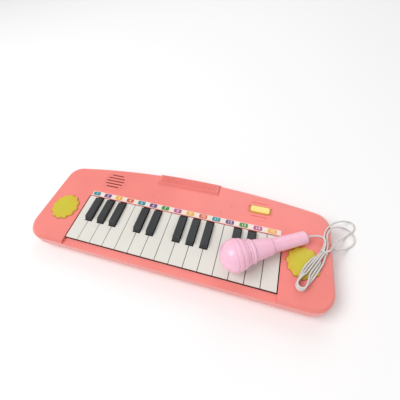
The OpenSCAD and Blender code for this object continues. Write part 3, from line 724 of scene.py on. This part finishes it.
def headOutline():
    # a dome as far as its widest line, and then three bands with a crease before each
    radius = micFacts["headRadius"]
    steps = micFacts["domeSteps"]
    points = []
    for k in range(steps + 1):
        angle = (pi / 2 - asin(-micFacts["domeEnd"] / radius)) * k / steps
        points.append((radius * sin(angle), -radius * cos(angle)))
    points += [
        (17.8, -3.15), (17.35, -2.9), (17.3, -2.5), (17.75, -2.1), (17.95, -1), (17.9, 0.6),
        (17.6, 2.2), (17.2, 3), (16.6, 3.25), (16.55, 3.6), (16.95, 4), (16.9, 5.2), (16.5, 7),
        (15.8, 8.6), (15.3, 9.2), (14.7, 9.4), (14.6, 9.8), (14.9, 10.2), (14.6, 11), (13.9, 12),
        (13.3, 12.4), (0, 12.4),
    ]
    return points


def collarOutline():
    return [
        (0, 12.4), (12.9, 12.4), (13.35, 12.9), (13.6, 13.5), (13.55, 14.6), (13.1, 15.2),
        (12.75, 15.5), (12.75, 15.8), (13.1, 16.1), (13.45, 16.7), (13.4, 17.7), (12.9, 18.8),
        (12.2, 19.6), (11.4, 19.84), (0, 19.84),
    ]


def handleOutline():
    return [
        (0, 19.84), (11.9, 19.84), (11.75, 20.6), (11.4, 24), (10.8, 30), (10.1, 36),
        (9.75, 40), (9.6, 41), (9.3, 41.5), (8.8, 41.84), (8.35, 42.3), (8.1, 43), (7.95, 50),
        (7.75, 60), (7.55, 72), (7.42, 83), (7.3, 84.2), (6.9, 84.8), (6.3, 85), (2.3, 85),
        (2.2, 84.4), (0, 84.4),
    ]


def makeMicrophone():
    matrix = micMatrix()
    outlines = {
        "mic_head": headOutline(), "mic_collar": collarOutline(), "mic_handle": handleOutline(),
    }
    for node, outline in outlines.items():
        piece = lathe(node + "Turned", outline, matrix)
        setMaterial(piece, bubblegum)
        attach(piece, "microphone")
        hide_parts(node)


makeMicrophone()
print("stage: microphone")

# coloured labels with plain numbers on the note strip, one for each white key

labelFacts = {
    "first": -122.5, "pitch": 17.25, "y": 12.1, "top": 29.4, "sink": 0.02,
    "width": 10.4, "depth": 5.6, "thick": 0.15, "corner": 1.4,
    "digitSize": 4.6, "digitThick": 0.16, "digitWiden": 1.25, "digitLift": 0.13,
    "order": [
        "teal", "purple", "yellow", "orange", "teal", "purple", "green", "pink", "yellow", "orange",
        "teal", "purple", "green", "pink", "yellow",
    ],
}


def number(text, size, thick):
    # plain raised figures in the built-in typeface, as a mesh
    bpy.ops.object.text_add(location=(0, 0, 0))
    piece = bpy.context.object
    piece.data.body = text
    piece.data.size = size * mm
    piece.data.extrude = thick / 2 * mm
    piece.data.align_x = "CENTER"
    piece.data.align_y = "CENTER"
    piece.data.resolution_u = 3
    pick(piece)
    bpy.ops.object.convert(target="MESH")
    piece = bpy.context.object
    bpy.ops.object.mode_set(mode="EDIT")
    bpy.ops.mesh.select_all(action="SELECT")
    bpy.ops.mesh.remove_doubles(threshold=0.000001)
    bpy.ops.object.mode_set(mode="OBJECT")
    return piece


def makeLabels():
    facts = labelFacts
    for k, colour in enumerate(facts["order"]):
        x = facts["first"] + k * facts["pitch"]
        label = plate(f"label{k + 1:02d}", facts["width"], facts["depth"], facts["thick"],
                      facts["corner"])
        moveMesh(label, x, facts["y"], facts["top"] - facts["sink"])
        setMaterial(label, labelInks[colour])
        digits = number(str(k + 1), facts["digitSize"], facts["digitThick"])
        digits.name = f"labelNumber{k + 1:02d}"
        digits.data.transform(Matrix.Diagonal((facts["digitWiden"], 1, 1, 1)))
        moveMesh(digits, x, facts["y"], facts["top"] + facts["digitLift"])
        setMaterial(digits, whiteInk)
        for piece in (label, digits):
            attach(piece, "casing")


makeLabels()
print("stage: labels")

# thin raised rings round the grille and the switch

ringFacts = {
    "grilleRing": {"x": -106.5, "y": 38, "z": 28.95, "radius": 16.6, "thick": 0.45},
    "switchRing": {"x": 101, "y": 38, "z": 28.95, "radius": 15.6, "thick": 0.3},
}


def makeRings():
    for name, facts in ringFacts.items():
        bpy.ops.mesh.primitive_torus_add(
            location=(0, 0, 0), major_segments=72, minor_segments=8,
            major_radius=facts["radius"] * mm, minor_radius=facts["thick"] * mm)
        piece = bpy.context.object
        piece.name = name
        moveMesh(piece, facts["x"], facts["y"], facts["z"])
        smoothShade(piece, 60)
        setMaterial(piece, coral)
        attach(piece, "casing")


makeRings()

# the ribs across the grip

ribFacts = {
    "pitch": 2.6, "count": 31, "width": 1.25, "front": 50.7, "rear": 61.2, "bottom": 32.2,
    "top": 33.6, "corner": 0.5, "round": 0.35, "roundSegments": 2,
}


def makeRibs():
    facts = ribFacts
    bars = []
    for k in range(facts["count"]):
        bar = plate(f"rib{k + 1:02d}", facts["width"], facts["rear"] - facts["front"],
                    facts["top"] - facts["bottom"], facts["corner"])
        roundEdges(bar, facts["round"], facts["roundSegments"])
        applyModifiers(bar)
        x = (k - (facts["count"] - 1) / 2) * facts["pitch"]
        middle = (facts["front"] + facts["rear"]) / 2
        moveMesh(bar, x, middle, facts["bottom"])
        bars.append(bar)
    deselectAll()
    for bar in bars:
        bar.select_set(True)
    bpy.context.view_layer.objects.active = bars[0]
    bpy.ops.object.join()
    ribs = bpy.context.object
    ribs.name = "gripRibs"
    smoothShade(ribs, 40)
    setMaterial(ribs, coral)
    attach(ribs, "casing")


makeRibs()

# the band that ties the hank

tieFacts = {
    "at": (176, -1.6, 33.1), "heading": (0.434, 0.901), "halfWidth": 4.1, "halfHeight": 2.3,
    "length": 2.4, "wall": 0.5, "round": 0.15, "roundSegments": 2, "roundAngle": 30, "sides": 32,
}


def makeTie():
    facts = tieFacts
    bpy.ops.mesh.primitive_cylinder_add(
        vertices=facts["sides"], radius=1, depth=facts["length"] * mm,
        end_fill_type="NOTHING", location=(0, 0, 0))
    piece = bpy.context.object
    piece.name = "hankTie"
    flatten = Matrix.Diagonal((facts["halfWidth"] * mm, facts["halfHeight"] * mm, 1, 1))
    piece.data.transform(flatten)
    wall = piece.modifiers.new("wall", "SOLIDIFY")
    wall.thickness = facts["wall"] * mm
    wall.offset = -1
    roundEdges(piece, facts["round"], facts["roundSegments"], facts["roundAngle"])
    applyModifiers(piece)
    ahead = Vector((facts["heading"][0], facts["heading"][1], 0)).normalized()
    side = Vector((-ahead.y, ahead.x, 0))
    up = Vector((0, 0, 1))
    turn = Matrix((side, up, ahead)).transposed().to_4x4()
    placeMesh(piece, Matrix.Translation(Vector(facts["at"]) * mm) @ turn)
    smoothShade(piece, 50)
    setMaterial(piece, vinyl)
    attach(piece, "casing")
    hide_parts("cord_tie")


makeTie()
print("stage: rings, ribs and tie")

# the CAD pieces inside keep their shapes and get their own materials

nodeMaterials = {
    "key_frame": innerShadeGrey, "pivot_rod": steel, "contact_board": boardGreen, "contact_strip": silicone,
    "speaker_frame": darkMetal, "speaker_cone": paperBlack, "speaker_magnet": darkMetal,
    "button_boards": boardGreen, "button_lamps": lampClear, "slide_switch": steel,
    "main_board": boardGreen, "board_chips": chipBlack, "battery_cells": cellSleeve,
    "battery_contacts": steel, "case_screws": steel, "feet": footRubber, "mic_capsule": darkMetal,
}
for node, material in nodeMaterials.items():
    setMaterial(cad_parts[node], material)
print("stage: inner pieces")
